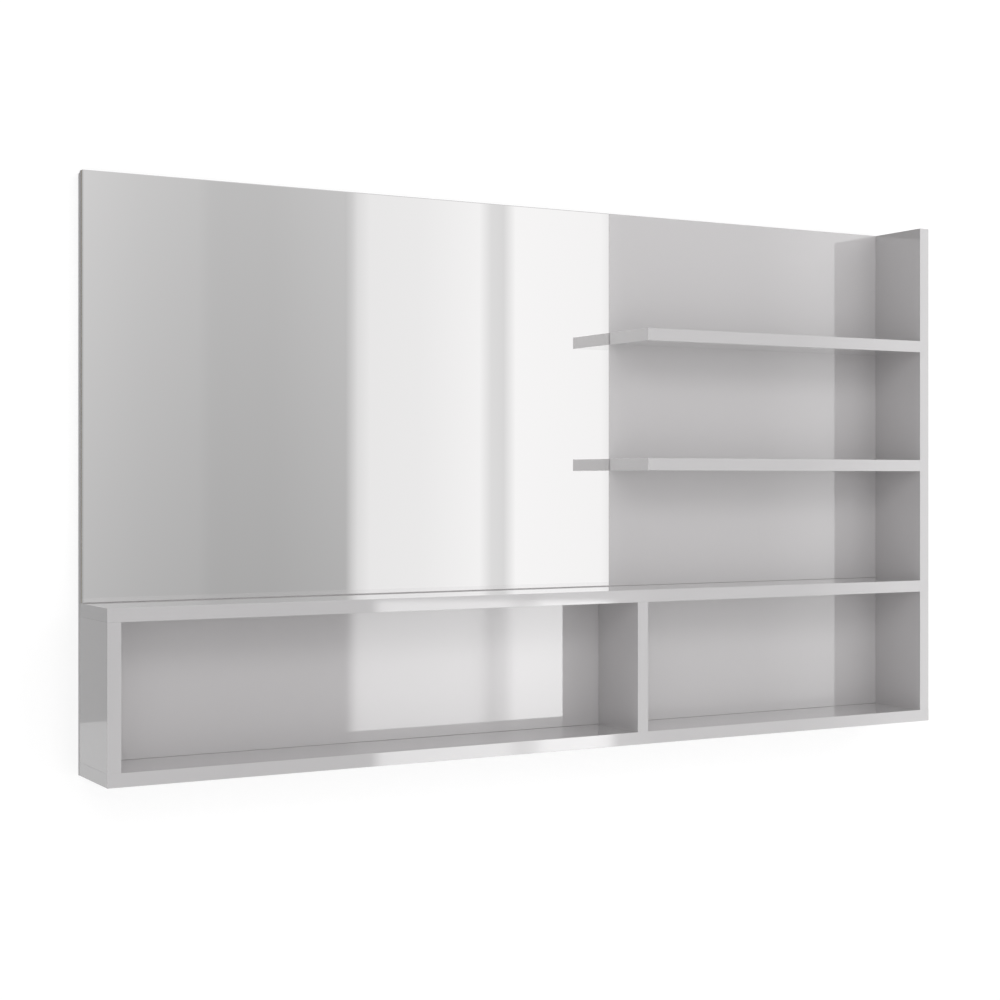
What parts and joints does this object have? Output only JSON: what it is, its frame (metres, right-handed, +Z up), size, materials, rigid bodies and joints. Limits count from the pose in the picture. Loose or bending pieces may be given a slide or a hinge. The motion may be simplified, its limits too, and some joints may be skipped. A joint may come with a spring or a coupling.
{
  "type": "wall mirror with shelf",
  "caption": "Wall mirror with a long open shelf box below it and two short shelves beside it, hung on keyhole plates.",
  "frame": {"origin": "middle of the rear face, on the wall", "axes": "+X along the wall towards the short shelves, +Y into the wall, +Z up; the front faces -Y"},
  "size_m": [1.2, 0.11, 0.7],
  "materials": {
    "gloss_board": "high-gloss light grey lacquer on wood-based board",
    "gloss_edge": "high-gloss light grey edge strip",
    "rear_board": "satin light grey melamine on thin board",
    "carrier_board": "satin grey melamine on thin board",
    "mirror": "polished silvered float glass with ground edges",
    "mounting_tape": "white foam tape",
    "dowel_beech": "raw beech",
    "zinc_screw": "bright zinc plated",
    "hanger_steel": "zinc plated sheet steel"
  },
  "bodies": {
    "root": {"back_board_screws": "zinc_screw", "bottom_board": "gloss_board", "bottom_board_dowels": "dowel_beech", "bottom_board_front_band": "gloss_edge", "bottom_board_left_band": "gloss_edge", "bottom_board_right_band": "gloss_edge", "carrier_screws": "zinc_screw", "divider_front_band": "gloss_edge", "divider_panel": "gloss_board", "frame_screws": "zinc_screw", "hanger_plate_lower_left": "hanger_steel", "hanger_plate_lower_right": "hanger_steel", "hanger_plate_upper_left": "hanger_steel", "hanger_plate_upper_right": "hanger_steel", "hanger_screws": "zinc_screw", "left_side_front_band": "gloss_edge", "left_side_panel": "gloss_board", "long_board": "gloss_board", "long_board_dowels": "dowel_beech", "long_board_front_band": "gloss_edge", "long_board_left_band": "gloss_edge", "lower_left_back_board": "gloss_board", "lower_right_back_board": "gloss_board", "lower_shelf": "gloss_board", "lower_shelf_end_band": "gloss_edge", "lower_shelf_front_band": "gloss_edge", "mirror_carrier": "carrier_board", "mirror_glass": "mirror", "mirror_tape": "mounting_tape", "rear_panel": "rear_board", "right_side_front_band": "gloss_edge", "right_side_panel": "gloss_board", "right_side_top_band": "gloss_edge", "shelf_dowels": "dowel_beech", "shelf_screws": "zinc_screw", "upper_back_board": "gloss_board", "upper_shelf": "gloss_board", "upper_shelf_end_band": "gloss_edge", "upper_shelf_front_band": "gloss_edge"}
  },
  "joints": []
}
